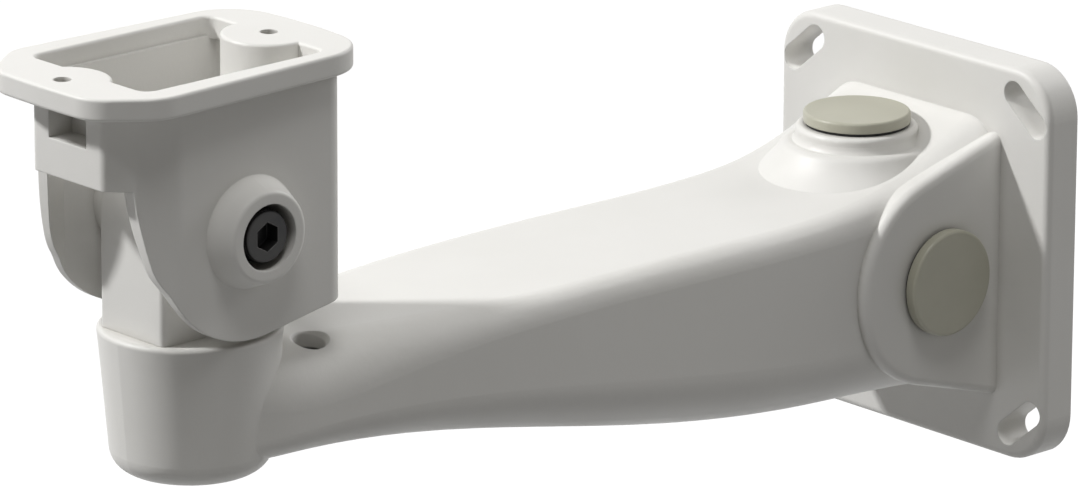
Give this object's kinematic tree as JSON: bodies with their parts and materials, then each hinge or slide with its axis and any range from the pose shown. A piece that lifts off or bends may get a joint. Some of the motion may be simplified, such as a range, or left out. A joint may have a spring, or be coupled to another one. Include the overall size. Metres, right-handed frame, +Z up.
{
  "type": "camera wall bracket",
  "caption": "Cast wall bracket for a camera housing: wall plate, hollow arm, swivel post and a tilting cradle with a flange for the housing.",
  "frame": {"origin": "centre of the wall plate's back face", "axes": "+X out from the wall along the arm, +Z up, +Y towards the side cable entry"},
  "size_m": [0.377, 0.124, 0.185],
  "materials": {
    "powder_coat": "light warm-grey powder coat on die-cast aluminium",
    "zinc_steel": "zinc-plated steel",
    "black_steel": "black oxide steel",
    "friction_nylon": "grey nylon",
    "plug_plastic": "moulded grey-beige plastic",
    "seal_rubber": "flat black rubber"
  },
  "bodies": {
    "arm": {"arm_casting": "powder_coat", "top_entry_plug": "plug_plastic", "top_entry_seal": "seal_rubber", "side_entry_plug": "plug_plastic", "side_entry_seal": "seal_rubber"},
    "post": {"swivel_post": "powder_coat", "pan_bolt": "zinc_steel", "pan_washer": "zinc_steel", "pan_spring_washer": "zinc_steel"},
    "head": {"cradle": "powder_coat", "tilt_screw": "black_steel", "tilt_screw_washer": "black_steel", "tilt_nut": "zinc_steel", "friction_washer_near": "friction_nylon", "friction_washer_far": "friction_nylon"}
  },
  "joints": [
    {"name": "pan_swivel", "type": "hinge", "parent": "arm", "child": "post", "pos_m": [0.32, 0, 0.034], "axis": [0, 0, 1], "range_deg": [-180, 180]},
    {"name": "head_tilt", "type": "hinge", "parent": "post", "child": "head", "pos_m": [0.32, 0, 0.069], "axis": [0, 1, 0], "range_deg": [-10, 55]}
  ]
}
